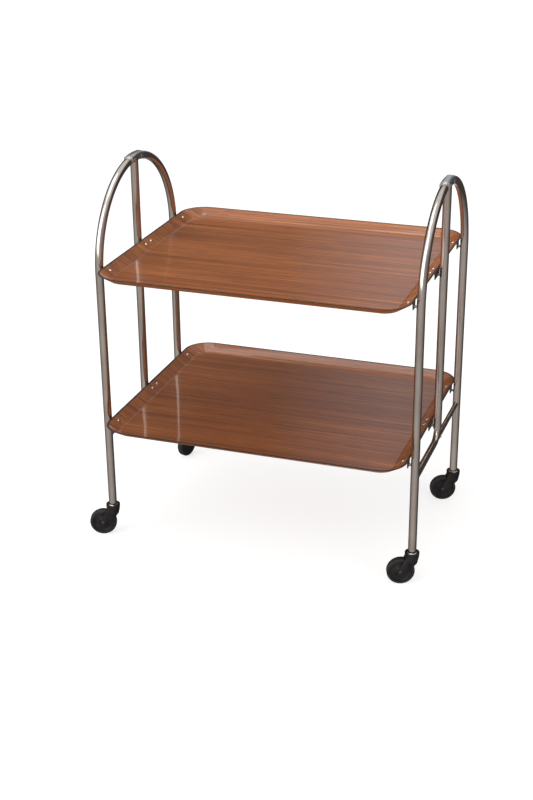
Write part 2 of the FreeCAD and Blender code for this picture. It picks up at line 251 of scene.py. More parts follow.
for end_name, end in ENDS:
    x = END_X[end_name]
    low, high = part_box(end_name + "_front_stretcher")
    front_radius = (high.x - low.x) / 2
    height = low.z + front_radius
    sweep_radius = 24 * MM
    inside_leg = 1.0 * MM
    level_y = np.linspace(-LEG_Y + TUBE - inside_leg, -sweep_radius, 30)[:-1]
    sweep = np.linspace(0, np.pi / 2, 25)
    rise_z = np.linspace(height + sweep_radius, high.z, 4)[1:]
    path = np.concatenate([
        points_at(x, level_y, height),
        points_at(x, sweep_radius * (np.sin(sweep) - 1), height + sweep_radius * (1 - np.cos(sweep))),
        points_at(x, 0, rise_z),
    ])
    seam, outward = leg_seam(x, -1, height, front_radius)
    bead = bead_ring(seam, outward, np.array([0.0, 1.0, 0.0]), 0.9 * MM)
    shells = [(tube_along(path, front_radius, front_radius - 1.2 * MM), "loop"), (bead, "loop")]
    swept = closed_mesh(end_name + "_front_stretcher_swept", shells)
    fit_piece(swept, chrome, "frame", "chromed_tube", end_name + "_front_stretcher")

    low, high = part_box(end_name + "_rear_stretcher")
    rear_radius = (high.x - low.x) / 2
    rear_y = np.linspace(low.y, LEG_Y - TUBE + inside_leg, 24)
    seam, outward = leg_seam(x, 1, height, rear_radius)
    bead = bead_ring(seam, outward, np.array([0.0, 1.0, 0.0]), 0.9 * MM)
    tube = tube_along(points_at(x, rear_y, height), rear_radius, rear_radius - 1.2 * MM, around=40)
    brace = closed_mesh(end_name + "_rear_stretcher_brace", [(tube, "loop"), (bead, "loop")])
    fit_piece(brace, chrome, "frame", "chromed_tube", end_name + "_rear_stretcher")

# ---- crown caps ----
# A saddle pressed from satin steel sheet covers the joint at the top of each arch. It is flat on top with
# rounded shoulders and a slightly rolled lip at both ends, and two cross rivets hold it.


def satin_steel():
    """Brushed and worn sheet: fine streaks along the arch change its gloss, with darker rubbed patches."""
    material, nodes, links, shader, place = material_nodes("satin steel sheet")
    streaks = stretched_noise(nodes, links, place, (1400, 60, 60), 4)
    patches = stretched_noise(nodes, links, place, (70, 70, 70), 3)
    tint = colour_ramp(nodes, links, patches, [(0.35, (0.56, 0.57, 0.565)), (0.65, (0.72, 0.725, 0.72))])
    links.new(tint, shader.inputs["Base Color"])
    links.new(number_range(nodes, links, streaks, 0.27, 0.40), shader.inputs["Roughness"])
    shader.inputs["Metallic"].default_value = 1.0
    surface_bump(nodes, links, streaks, shader, 0.01 * MM)
    return material


def turned(profile, start, axis, around=40):
    """A turned solid: each (radius, distance) of the profile is a circle that far along the axis."""
    profile = np.asarray(profile, float)
    axis = np.asarray(axis, float) / np.linalg.norm(axis)
    helper = np.array([0.0, 1.0, 0.0]) if abs(axis[1]) < 0.9 else np.array([0.0, 0.0, 1.0])
    first = np.cross(axis, helper)
    first /= np.linalg.norm(first)
    second = np.cross(axis, first)
    turn = np.linspace(0, 2 * np.pi, around, endpoint=False)[None, :, None]
    circle = np.cos(turn) * first + np.sin(turn) * second
    return np.asarray(start) + profile[:, 1, None, None] * axis + profile[:, 0, None, None] * circle


def dome(radius, height, base=0.0, steps=8):
    """Profile of a low dome: a quarter ellipse from its rim up to the axis."""
    rise = np.linspace(0, np.pi / 2, steps)
    return np.stack([radius * np.cos(rise), base + height * np.sin(rise)], axis=-1)


sheet_steel = satin_steel()
CAP_HALF = TUBE + 1.6 * MM
CAP_ANGLE = math.radians(8.0)
LIP = 0.5 * MM
shoulder = 3.4
side_turn = np.linspace(0, np.pi, 41)
squared_x = CAP_HALF * np.sign(np.cos(side_turn)) * np.abs(np.cos(side_turn)) ** (2 / shoulder)
squared_up = CAP_HALF * np.sin(side_turn) ** (2 / shoulder)
inner_reach = TUBE + 0.05 * MM
skirt = -3 * MM
outer_x = np.concatenate([[CAP_HALF], squared_x, [-CAP_HALF]])
outer_up = np.concatenate([[skirt], squared_up, [skirt]])
inner_x = np.concatenate([[-inner_reach], -inner_reach * np.cos(side_turn), [inner_reach]])
inner_up = np.concatenate([[skirt], inner_reach * np.sin(side_turn), [skirt]])
cap_x = np.concatenate([outer_x, inner_x])
cap_up = np.concatenate([outer_up, inner_up])
is_outer = np.concatenate([np.ones(outer_x.size), np.zeros(inner_x.size)])
along = np.linspace(-1, 1, 61)[:, None]
lip_share = np.exp(-((1 - np.abs(along)) * LEG_Y * CAP_ANGLE / (1.1 * MM)) ** 2)
swell = 1 + lip_share * is_outer * LIP / CAP_HALF
radius = LEG_Y + cap_up[None, :] * swell
for end_name, end in ENDS:
    cap = points_at(END_X[end_name] + cap_x[None, :] * swell,
                    radius * np.sin(along * CAP_ANGLE), ARCH + radius * np.cos(along * CAP_ANGLE))
    piece = closed_mesh(end_name + "_crown_cap_saddle", [(cap, "faces")])
    fit_piece(piece, sheet_steel, "frame", "cap_sheet", end_name + "_crown_cap")

# ---- rivets of the end frames ----
# Bright steel rivets with low domed heads: two through each crown cap, and one through the rear
# stretcher where it slips over the spigot.


def bright_steel():
    """Polished rivet steel with a faint warm cast and tiny scratches."""
    material, nodes, links, shader, place = material_nodes("bright rivet steel")
    scratches = stretched_noise(nodes, links, place, (700, 2200, 700), 3)
    tint = colour_ramp(nodes, links, scratches, [(0.35, (0.60, 0.55, 0.51)), (0.7, (0.78, 0.72, 0.68))])
    links.new(tint, shader.inputs["Base Color"])
    links.new(number_range(nodes, links, scratches, 0.14, 0.26), shader.inputs["Roughness"])
    shader.inputs["Metallic"].default_value = 1.0
    return material


def cross_rivet(x, y, z, reach, shank, head, height):
    """A rivet along X: a round shank with the same dome at both ends."""
    cap = dome(head, height, reach)
    lower = cap[::-1] * np.array([1, -1])
    profile = np.concatenate([lower, [[shank, -reach], [shank, reach]], cap])
    return turned(profile, (x, y, z), (1, 0, 0), around=28)


rivet_steel = bright_steel()
RIVET = 1.5 * MM
for end_name, end in ENDS:
    x = END_X[end_name]
    rivets = []
    for side_name, side in SIDES:
        angle = side * math.radians(5.0)
        y = LEG_Y * math.sin(angle)
        z = ARCH + LEG_Y * math.cos(angle)
        rivets.append((cross_rivet(x, y, z, CAP_HALF, RIVET, 2.8 * MM, 1.1 * MM), "poles"))
    piece = closed_mesh(end_name + "_crown_rivets_domed", rivets)
    fit_piece(piece, rivet_steel, "frame", "bright_rivets", end_name + "_crown_rivets")

    low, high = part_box(end_name + "_foot_rivet")
    head_height = 1.4 * MM
    rivet = cross_rivet(x, (low.y + high.y) / 2, (low.z + high.z) / 2, (high.x - low.x) / 2 - head_height,
                        RIVET, 2.8 * MM, head_height)
    piece = closed_mesh(end_name + "_foot_rivet_domed", [(rivet, "poles")])
    fit_piece(piece, rivet_steel, "frame", "bright_rivets", end_name + "_foot_rivet")

# ---- trays ----
# Each tray is thin veneered wood pressed in a mould: a flat floor, a soft fillet, and low walls that lean
# well out. The grain runs along the tray, under a hard gloss lacquer; the cut rim is dark and dull.


def lacquered_veneer():
    """Straight-grained veneer: long narrow noise gives light and dark lines that run with the tray, wider
    noise gives the broad figure, and short dashes give the pores. A clear coat lies over them."""
    material, nodes, links, shader, place = material_nodes("lacquered veneer")
    lines = stretched_noise(nodes, links, place, (2.2, 330, 40), 7, 0.70)
    figure = stretched_noise(nodes, links, place, (0.7, 60, 10), 3, 0.5)
    pores = stretched_noise(nodes, links, place, (26, 1500, 200), 2, 0.5)
    cloud = stretched_noise(nodes, links, place, (5, 9, 9), 2)
    line_colour = colour_ramp(nodes, links, lines, [
        (0.33, (0.100, 0.0270, 0.0060)),
        (0.46, (0.215, 0.0640, 0.0160)),
        (0.56, (0.295, 0.0960, 0.0250)),
        (0.68, (0.450, 0.1850, 0.0650)),
    ])
    figure_stops = [(0.30, (0.80, 0.76, 0.72)), (0.70, (1.14, 1.13, 1.10))]
    cloud_stops = [(0.25, (0.86, 0.86, 0.88)), (0.75, (1.1, 1.08, 1.05))]
    pore_stops = [(0.30, (0.45, 0.42, 0.40)), (0.44, (1.0, 1.0, 1.0))]
    colour = line_colour
    for value, stops in ((figure, figure_stops), (cloud, cloud_stops), (pores, pore_stops)):
        blend = nodes.new("ShaderNodeMix")
        blend.data_type = "RGBA"
        blend.blend_type = "MULTIPLY"
        blend.inputs["Factor"].default_value = 1.0
        links.new(colour, blend.inputs["A"])
        links.new(colour_ramp(nodes, links, value, stops), blend.inputs["B"])
        colour = blend.outputs["Result"]
    links.new(colour, shader.inputs["Base Color"])
    links.new(number_range(nodes, links, lines, 0.34, 0.48), shader.inputs["Roughness"])
    shader.inputs["Specular IOR Level"].default_value = 0.3
    shader.inputs["Coat Weight"].default_value = 0.7
    shader.inputs["Coat Roughness"].default_value = 0.05
    shader.inputs["Coat IOR"].default_value = 1.5
    surface_bump(nodes, links, lines, shader, 0.03 * MM, 0.6)
    return material


def cut_rim():
    """The cut edge of the pressed board: dark stained plies with a dull finish."""
    material, nodes, links, shader, place = material_nodes("cut tray rim")
    plies = stretched_noise(nodes, links, place, (60, 60, 900), 4)
    tint = colour_ramp(nodes, links, plies, [(0.3, (0.020, 0.013, 0.009)), (0.7, (0.055, 0.034, 0.024))])
    links.new(tint, shader.inputs["Base Color"])
    links.new(number_range(nodes, links, plies, 0.45, 0.65), shader.inputs["Roughness"])
    shader.inputs["Specular IOR Level"].default_value = 0.2
    surface_bump(nodes, links, plies, shader, 0.05 * MM)
    return material


def rounded_corner(before, corner, after, radius, steps=7):
    """Points of the arc that rounds one corner of an outline and touches both of its sides."""
    before, corner, after = (np.asarray(p, float) for p in (before, corner, after))
    first = (before - corner) / np.linalg.norm(before - corner)
    second = (after - corner) / np.linalg.norm(after - corner)
    half = 0.5 * math.acos(float(np.clip(first @ second, -1, 1)))
    reach = radius / math.tan(half)
    middle = (first + second) / np.linalg.norm(first + second)
    centre = corner + middle * radius / math.sin(half)
    start = corner + first * reach - centre
    end = corner + second * reach - centre
    share = np.linspace(0, 1, steps)[:, None]
    spread = math.pi - 2 * half
    return centre + (np.sin((1 - share) * spread) * start + np.sin(share * spread) * end) / math.sin(spread)


def rounded_rectangle(half_x, half_y, corner, centre_x, arc_steps=24, side_steps=30):
    """A rounded rectangle: four straight sides and four quarter circles, from matching lists of half
    sizes and corner radii, as one row of (x, y) for each."""
    quarter = np.linspace(0, np.pi / 2, arc_steps, endpoint=False)
    run = np.linspace(0, 1, side_steps, endpoint=False)
    inner_x = (half_x - corner)[:, None]
    inner_y = (half_y - corner)[:, None]
    corner = corner[:, None]
    rows = []
    for quadrant in range(4):
        cos_q, sin_q = round(math.cos(quadrant * math.pi / 2)), round(math.sin(quadrant * math.pi / 2))
        wide = inner_x if quadrant % 2 == 0 else inner_y
        tall = inner_y if quadrant % 2 == 0 else inner_x
        arc_u = wide + corner * np.cos(quarter)
        arc_v = tall + corner * np.sin(quarter)
        side_u = wide - 2 * wide * run
        side_v = tall + corner + 0 * run
        u = np.concatenate([arc_u, side_u], axis=1)
        v = np.concatenate([arc_v, side_v], axis=1)
        rows.append(np.stack([u * cos_q - v * sin_q + centre_x, u * sin_q + v * cos_q], axis=-1))
    return np.concatenate(rows, axis=1)


veneer = lacquered_veneer()
rim_finish = cut_rim()
TRAY_CORNER = 52 * MM
TRAY_SKIN = 2.5 * MM
FLARE = 25 * MM
RIM_EDGE = 0.25 * MM
RIM_ROUND = 0.7 * MM
INNER_FILLET = 9 * MM
tray_boxes = {}
for tray_name in ("upper", "lower"):
    low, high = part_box(tray_name + "_tray")
    tray_boxes[tray_name] = (low, high)
    deep = high.z - low.z
    floor_top = deep - TRAY_SKIN
    WALL_SLOPE = math.atan2(deep, FLARE)
    wall_top = TRAY_SKIN / math.sin(WALL_SLOPE)
    past = FLARE + 60 * MM
    under_mid, under_corner, rim_outer = (past, -deep), (FLARE, -deep), (0, 0)
    rim_inner, floor_mid = (wall_top, 0), (past, -floor_top)
    floor_corner = (wall_top + floor_top / math.tan(WALL_SLOPE), -floor_top)
    profile = np.concatenate([
        rounded_corner(under_mid, under_corner, rim_outer, INNER_FILLET + TRAY_SKIN),
        rounded_corner(under_corner, rim_outer, rim_inner, RIM_EDGE, 5),
        rounded_corner(rim_outer, rim_inner, floor_corner, RIM_ROUND, 5),
        rounded_corner(rim_inner, floor_corner, floor_mid, INNER_FILLET, 9),
    ])
    inset = profile[:, 0]
    half_x = (high.x - low.x) / 2 - inset
    half_y = (high.y - low.y) / 2 - inset
    outline = rounded_rectangle(half_x, half_y, TRAY_CORNER - inset, (low.x + high.x) / 2)
    heights = np.broadcast_to((high.z + profile[:, 1])[:, None, None], (*outline.shape[:2], 1))
    wall = np.concatenate([outline, heights], axis=2)
    shrink = np.linspace(1, 0, 9)[:, None, None]
    under_centre = np.array([(low.x + high.x) / 2, 0, low.z])
    floor_centre = np.array([(low.x + high.x) / 2, 0, high.z - floor_top])
    under = under_centre + shrink[::-1] * (wall[0] - under_centre)
    floor = floor_centre + shrink * (wall[-1] - floor_centre)
    shell = np.concatenate([under[:-1], wall, floor[1:]])
    tray = closed_mesh(tray_name + "_tray_pressed", [(shell, "poles")], smooth_angle=50)
    fit_piece(tray, veneer, "frame", "wood_tray", tray_name + "_tray")
    tray.data.materials.append(rim_finish)
    face_centres = np.zeros(len(tray.data.polygons) * 3)
    tray.data.polygons.foreach_get("center", face_centres)
    on_rim = face_centres.reshape(-1, 3)[:, 2] > high.z - 0.45 * MM
    tray.data.polygons.foreach_set("material_index", on_rim.astype(np.int32))

# ---- tray brackets ----
# Folded steel tabs hang each tray between the end frames: one leaf lies under the tray's leaning wall, the
# other stands beside the tube with a hole for the stud. The middle tab of each side is wider.


def plated_tab():
    """Zinc-plated tab steel: a faint crystalline mottle and dull gloss."""
    material, nodes, links, shader, place = material_nodes("plated tab steel")
    mottle = stretched_noise(nodes, links, place, (260, 260, 260), 3)
    tint = colour_ramp(nodes, links, mottle, [(0.35, (0.17, 0.155, 0.145)), (0.65, (0.30, 0.28, 0.265))])
    links.new(tint, shader.inputs["Base Color"])
    links.new(number_range(nodes, links, mottle, 0.26, 0.42), shader.inputs["Roughness"])
    shader.inputs["Metallic"].default_value = 1.0
    return material


tab_steel = plated_tab()
GAUGE = 1.5 * MM


TAB_TOE = 20 * MM
TAB_FOLD = 4 * MM
TAB_DROP = 18 * MM
TAB_ROUND = 5 * MM


def folded_tab(edge_x, end, y, width, rim_z):
    """A strip folded from the tray's wall to upright: its side outline, with a rounded fold, carried across
    its width; the ends of the strip narrow a little, so that its corners are rounded."""
    rise = math.tan(WALL_SLOPE)
    face = GAUGE - TAB_FOLD
    wall_toe = (-TAB_TOE, -TAB_TOE * rise)
    fold = (-TAB_FOLD, -TAB_FOLD * rise)
    top = (face, -TAB_FOLD * rise)
    bottom_out, bottom_in = (face, -TAB_DROP), (-TAB_FOLD, -TAB_DROP)
    inner_fold = (-TAB_FOLD, -TAB_FOLD * rise - GAUGE / math.cos(WALL_SLOPE))
    toe_under = (wall_toe[0] + GAUGE * math.sin(WALL_SLOPE), wall_toe[1] - GAUGE * math.cos(WALL_SLOPE))
    outline = np.concatenate([
        rounded_corner(toe_under, wall_toe, fold, 0.3 * MM, 3),
        rounded_corner(wall_toe, fold, top, 0.5 * MM, 4),
        rounded_corner(fold, top, bottom_out, 0.7 * MM, 4),
        rounded_corner(top, bottom_out, bottom_in, 0.5 * MM, 4),
        rounded_corner(bottom_out, bottom_in, inner_fold, 0.5 * MM, 4),
        rounded_corner(bottom_in, inner_fold, toe_under, 0.6 * MM, 4),
        rounded_corner(inner_fold, toe_under, wall_toe, 0.3 * MM, 3),
    ])
    from_low = (outline[:, 1] + TAB_DROP) / TAB_ROUND
    from_toe = (outline[:, 0] + TAB_TOE) / TAB_ROUND
    upright = outline[:, 0] > -1.05 * TAB_FOLD
    near_end = np.clip(np.where(upright, from_low, from_toe), 0, 1)
    half = width / 2 - 4 * MM * (1 - np.sqrt(1 - (1 - near_end) ** 2))
    share = np.array([-1, -0.94, 0, 0.94, 1])[:, None]
    return points_at(edge_x + end * outline[None, :, 0], y + share * half[None, :],
                     rim_z + np.broadcast_to(outline[None, :, 1], (share.size, half.size)))


for tray_name, (tray_low, tray_high) in tray_boxes.items():
    for end_name, end in ENDS:
        edge_x = tray_high.x if end > 0 else tray_low.x
        for node_end, width, places in (
            ("_corner_brackets", 18 * MM, (-LEG_Y, LEG_Y)),
            ("_centre_bracket", 40 * MM, (0,)),
        ):
            tabs = [(folded_tab(edge_x, end, y, width, tray_high.z), "faces") for y in places]
            node = tray_name + "_" + end_name + node_end
            fit_piece(closed_mesh(node + "_folded", tabs), tab_steel, "frame", "plain_steel", node)

# ---- tray rivets and studs ----
# Bright domed rivets hold the tabs to both short walls of a tray, halfway up the wall. Headed studs in the
# tabs' own duller plate pin the tabs to the legs and posts.
STUD = 2.5 * MM
STUD_HEAD = 3.6 * MM
STUD_DROP = 12 * MM
SEAT_IN = FLARE / 2
SEAT_DOWN = SEAT_IN * math.tan(WALL_SLOPE)
for tray_name, (tray_low, tray_high) in tray_boxes.items():
    shells = []
    for end_name, end in ENDS:
        edge_x = tray_high.x if end > 0 else tray_low.x
        inward = np.array([-end * math.sin(WALL_SLOPE), 0, math.cos(WALL_SLOPE)])
        for y in (-LEG_Y, -12 * MM, 12 * MM, LEG_Y):
            seat = (edge_x - end * SEAT_IN, y, tray_high.z - SEAT_DOWN)
            head = dome(3.4 * MM, 1.5 * MM, TRAY_SKIN)
            tail = dome(2.6 * MM, 1.0 * MM, GAUGE)[::-1] * np.array([1, -1])
            profile = np.concatenate([tail, [[RIVET, -GAUGE], [RIVET, TRAY_SKIN]], head])
            shells.append((turned(profile, seat, inward), "poles"))
    node = tray_name + "_tray_rivets"
    fit_piece(closed_mesh(node + "_domed", shells), rivet_steel, "frame", "bright_rivets", node)

for end_name, end in ENDS:
    low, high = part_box(end_name + "_tray_studs")
    start_x = low.x if end > 0 else high.x
    tip_round = 0.8 * MM
    head = dome(STUD_HEAD, 1.2 * MM)[::-1]
    head[:, 1] = 1.2 * MM - head[:, 1]
    collar = [[STUD_HEAD, 1.6 * MM], [STUD, 1.6 * MM]]
    profile = np.concatenate([head, collar, dome(STUD, tip_round, high.x - low.x - tip_round, 5)])
    shells = []
    for tray_low, tray_high in tray_boxes.values():
        for y in (-LEG_Y, 0, LEG_Y):
            start = (start_x, y, tray_high.z - STUD_DROP)
            shells.append((turned(profile, start, (end, 0, 0), around=28), "poles"))
    node = end_name + "_tray_studs"
    fit_piece(closed_mesh(node + "_headed", shells), tab_steel, "frame", "bright_rivets", node)

# ---- inner pieces ----
# Bars that only show in a gap or at an open pose: the plug inside each arch, the spigot inside each rear
# stretcher and the caster stems. They keep the CAD shape and take the tab steel's finish.
for node_name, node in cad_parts.items():
    if node_name.endswith(("crown_plug", "foot_spigot", "caster_stem")):
        node.material_slots[0].material = tab_steel

# ---- caster sleeves ----
# A steel sleeve is pressed into each leg's end. Its flange stands out as a bright ring in the mouth of the
# black cup.
CORNERS = [side_name + "_" + end_name for side_name, _ in SIDES for end_name, _ in ENDS]


def flanged_sleeve(low_z, high_z, stem_x, stem_y):
    """Turned sleeve: bore, round-edged flange and shank, back to the bore."""
    bore, bead_top = 4.05 * MM, low_z + 4.5 * MM
    flange = 10 * MM
    shank = TUBE - WALL
    ring = np.linspace(-np.pi / 2, np.pi / 2, 13)
    edge = 1.6 * MM
    rounded_r = flange - edge + edge * np.cos(ring)
    rounded_z = (low_z + bead_top) / 2 + (bead_top - low_z) / 2 * np.sin(ring)
    radius = np.concatenate([[bore], rounded_r, [TUBE, TUBE, shank, shank, bore]])
    height = np.concatenate([[low_z], rounded_z, [bead_top, LEG_BOTTOM, LEG_BOTTOM, high_z, high_z]])
    profile = np.stack([radius, height], axis=-1)
    return turned(profile, (stem_x, stem_y, 0), (0, 0, 1), around=64)


for corner in CORNERS:
    low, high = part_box(corner + "_leg_sleeve")
    stem_x, stem_y = (low.x + high.x) / 2, (low.y + high.y) / 2
    sleeve = flanged_sleeve(low.z, high.z, stem_x, stem_y)
    piece = closed_mesh(corner + "_leg_sleeve_flanged", [(sleeve, "loop")])
    fit_piece(piece, rivet_steel, "frame", "plain_steel", corner + "_leg_sleeve")

# ---- caster housings ----
# Black moulded plastic: a cup over the leg's end, a hood over the wheel's leading side, and two tapered
# cheeks that carry the axle. The mouldings are satin and slightly worn, with a greyer film in patches.


def moulded_plastic():
    """Black moulding: fine leathery texture, with a greyer film in patches."""
    material, nodes, links, shader, place = material_nodes("black moulded plastic")
    grain = stretched_noise(nodes, links, place, (900, 900, 900), 3)
    film = stretched_noise(nodes, links, place, (55, 55, 55), 4)
    tint = colour_ramp(nodes, links, film, [(0.35, (0.0045, 0.0045, 0.0050)), (0.70, (0.015, 0.014, 0.0135))])
    links.new(tint, shader.inputs["Base Color"])
    links.new(number_range(nodes, links, film, 0.34, 0.50), shader.inputs["Roughness"])
    shader.inputs["Specular IOR Level"].default_value = 0.2
    surface_bump(nodes, links, grain, shader, 0.03 * MM, 0.7)
    return material


def at_corner(points, corner):
    """Turn a caster built along +X about its stem to its own heading, and move it under its leg."""
    heading = swivel_heading[corner]
    stem_x, stem_y = stem_place[corner]
    x = stem_x + points[..., 0] * math.cos(heading) - points[..., 1] * math.sin(heading)
    y = stem_y + points[..., 0] * math.sin(heading) + points[..., 1] * math.cos(heading)
    return np.stack([x, y, points[..., 2]], axis=-1)


def cup_shell():
    """The cup is turned about the stem: wall, round mouth, pocket and roof. Its leading side draws in towards
    the bottom. Its underside is lifted clear of the wheel, to the height of a circle about the axle."""
    wall, mouth, pocket = 14 * MM, 67 * MM, 10.6 * MM
    lip = (wall - pocket) / 2
    over = np.linspace(0, np.pi, 13)
    lip_r = pocket + lip + lip * np.cos(over)
    lip_z = mouth - 0.9 * MM + 0.9 * MM * np.sin(over)
    waist_z = np.linspace(46, 64, 10) * MM
    waist_r = wall - 0.5 * MM * np.sin((waist_z - 46 * MM) / (18 * MM) * np.pi)
    tuck = np.linspace(0, np.pi / 2, 7)[:-1]
    tuck_r = wall - 2.5 * MM + 2.5 * MM * np.sin(tuck)
    tuck_z = 46 * MM - 2.5 * MM * np.cos(tuck) + 0.5 * MM
    radius = np.concatenate([[4.4 * MM, 6 * MM, 9 * MM], tuck_r, waist_r, lip_r, [pocket, 4.4 * MM]])
    height = np.concatenate([[44 * MM, 44 * MM, 44 * MM], tuck_z, waist_z, lip_z, [61 * MM, 61 * MM]])
    turn = np.linspace(0, 2 * np.pi, 72, endpoint=False)
    drop = np.clip((59 * MM - height[:, None]) / (15 * MM), 0, 1)
    draw_in = 1 - 0.30 * drop ** 1.6 * np.clip(-np.cos(turn), 0, 1)
    x = radius[:, None] * draw_in * np.cos(turn)
    y = radius[:, None] * draw_in * np.sin(turn)
    clear = (AXLE_Z + 28.5 * MM * np.sqrt(np.clip(1 - ((x - TRAIL) / (28.5 * MM)) ** 2, 0, 1)))
    z = np.maximum(height[:, None], np.minimum(clear, 60 * MM))
    return points_at(x, y, z)


def hood_shell():
    """A curved shield over the leading side of the wheel: an arc about the axle, as wide as the cheeks,
    with a rounded lower edge."""
    lower_end = math.radians(153)
    sweep = np.linspace(math.radians(118), lower_end, 25)
    inner, outer = 28.5 * MM, 31.0 * MM
    taper = np.clip((lower_end - sweep) / math.radians(14), 0, 1) ** 0.5
    thick = (outer - inner) * (0.25 + 0.75 * taper)
    half = 10.4 * MM * (0.80 + 0.20 * taper)
    corner_u = np.array([-1, -0.96, 0.96, 1, 1, 0.96, -0.96, -1])
    corner_v = np.array([0.85, 1, 1, 0.85, 0.15, 0, 0, 0.15])
    reach = inner + thick[:, None] * corner_v
    return points_at(TRAIL + reach * np.cos(sweep)[:, None], half[:, None] * corner_u,
                     AXLE_Z + reach * np.sin(sweep)[:, None])


CHEEK_IN = 7.6 * MM
CHEEK_OUT = 10.6 * MM


def cheek_shell(side):
    """A tapered plate, the outline that wraps a large circle at the cup and a small one at the axle. Each
    ring of the plate is that outline with both radii shrunk, which rounds its edges."""
    upper = np.array([1.5 * MM, 52 * MM])
    lower = np.array([TRAIL, AXLE_Z])
    upper_radius, lower_radius = 11.5 * MM, 6.2 * MM
    gap = lower - upper
    lean = math.atan2(gap[1], gap[0])
    spread = math.acos((upper_radius - lower_radius) / np.linalg.norm(gap))
    around_lower = np.linspace(lean - spread, lean + spread, 25)
    around_upper = np.linspace(lean + spread, lean + 2 * math.pi - spread, 31)
    round_edge = 0.8 * MM
    inset = round_edge * np.array([1, 0.35, 0, 0, 0.35, 1])
    across = CHEEK_IN + (CHEEK_OUT - CHEEK_IN) * np.array([0, 0.07, 0.25, 0.75, 0.93, 1])
    rows = []
    for shrink, y in zip(inset, across):
        part = [
            lower + (lower_radius - shrink) * np.stack([np.cos(around_lower), np.sin(around_lower)], -1),
            upper + (upper_radius - shrink) * np.stack([np.cos(around_upper), np.sin(around_upper)], -1),
        ]
        outline = np.concatenate(part)
        rows.append(points_at(outline[:, 0], side * y, outline[:, 1]))
    return np.stack(rows)


plastic = moulded_plastic()
swivel_heading, stem_place = {}, {}
for corner in CORNERS:
    stem_low, stem_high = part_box(corner + "_caster_stem")
    hub_low, hub_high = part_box(corner + "_wheel_hub")
    stem_place[corner] = ((stem_low.x + stem_high.x) / 2, (stem_low.y + stem_high.y) / 2)
    trail_x = (hub_low.x + hub_high.x) / 2 - stem_place[corner][0]
    trail_y = (hub_low.y + hub_high.y) / 2 - stem_place[corner][1]
    swivel_heading[corner] = math.atan2(trail_y, trail_x)
    TRAIL = math.hypot(trail_x, trail_y)
    AXLE_Z = (hub_low.z + hub_high.z) / 2
    mouldings = [(cup_shell(), "loop"), (hood_shell(), "faces")]
    mouldings += [(cheek_shell(side), "faces") for side in (1, -1)]
    shells = [(at_corner(points, corner), closing) for points, closing in mouldings]
    piece = closed_mesh(corner + "_caster_housing_moulded", shells)
    fit_piece(piece, plastic, corner + "_caster", "black_plastic", corner + "_caster_housing")

# ---- axles ----
# A steel pin pressed through both cheeks; only its small round ends show, dulled by a dark oxide.


def oxidised_steel():
    """Dark oxide on steel, rubbed thin in small spots."""
    material, nodes, links, shader, place = material_nodes("oxidised pin steel")
    spots = stretched_noise(nodes, links, place, (400, 400, 400), 3)
    tint = colour_ramp(nodes, links, spots, [(0.35, (0.045, 0.043, 0.042)), (0.70, (0.12, 0.115, 0.11))])
    links.new(tint, shader.inputs["Base Color"])
    links.new(number_range(nodes, links, spots, 0.30, 0.45), shader.inputs["Roughness"])
    shader.inputs["Metallic"].default_value = 1.0
    return material


pin_steel = oxidised_steel()
PIN = 3 * MM
for corner in CORNERS:
    cap = dome(4.2 * MM, 1.2 * MM, CHEEK_OUT)
    profile = np.concatenate([cap[::-1] * np.array([1, -1]), [[PIN, -CHEEK_OUT], [PIN, CHEEK_OUT]], cap])
    pin = turned(profile, (TRAIL, 0, AXLE_Z), (0, 1, 0), around=32)
    piece = closed_mesh(corner + "_wheel_axle_pin", [(at_corner(pin, corner), "poles")])
    fit_piece(piece, pin_steel, corner + "_caster", "plain_steel", corner + "_wheel_axle")

# ---- wheels ----
# A moulded black disc, dished between its boss and its rim with two raised rings, and a softer tread ring
# with bevelled shoulders moulded round it.


def tread_rubber():
    """Tread rubber: dull black, dusted grey where it rolls."""
    material, nodes, links, shader, place = material_nodes("tread rubber")
    dust = stretched_noise(nodes, links, place, (120, 120, 120), 5)
    tint = colour_ramp(nodes, links, dust, [(0.35, (0.0050, 0.0050, 0.0050)), (0.72, (0.019, 0.018, 0.017))])
    links.new(tint, shader.inputs["Base Color"])
    links.new(number_range(nodes, links, dust, 0.50, 0.68), shader.inputs["Roughness"])
    shader.inputs["Specular IOR Level"].default_value = 0.3
    surface_bump(nodes, links, dust, shader, 0.05 * MM, 0.6)
    return material


rubber = tread_rubber()
WHEEL = AXLE_Z
HUB = WHEEL - 5.5 * MM
HALF = 7 * MM
disc_r = np.linspace(PIN + 0.05 * MM, HUB, 70)
dish = 5.5 * MM - 0.9 * MM * np.sin(np.clip((disc_r - 8 * MM) / (HUB - 9 * MM), 0, 1) * np.pi)
boss = 1.5 * MM / (1 + np.exp((disc_r - 8.6 * MM) / (0.35 * MM)))
inner_ring = 0.6 * MM * np.exp(-((disc_r - 12.5 * MM) / (0.7 * MM)) ** 2)
outer_ring = 0.9 * MM * np.exp(-((disc_r - 19.3 * MM) / (0.9 * MM)) ** 2)
disc_y = dish + boss + inner_ring + outer_ring
hub_profile = np.concatenate([np.stack([disc_r, disc_y], -1), np.stack([disc_r, -disc_y], -1)[::-1]])
shoulder_turn = np.linspace(0, np.pi / 2, 9)
tread_r = WHEEL - 3.2 * MM + 3.2 * MM * np.sin(shoulder_turn)
tread_y = HALF - 3.6 * MM + 3.6 * MM * np.cos(shoulder_turn)
flank_r = np.array([HUB, HUB + 0.35 * MM, HUB + 0.8 * MM])
flank_y = np.array([5.0 * MM, HALF - 0.5 * MM, HALF])
half_r = np.concatenate([flank_r, tread_r])
half_y = np.concatenate([flank_y, tread_y])
tyre_profile = np.concatenate([np.stack([half_r, half_y], -1), np.stack([half_r, -half_y], -1)[::-1]])
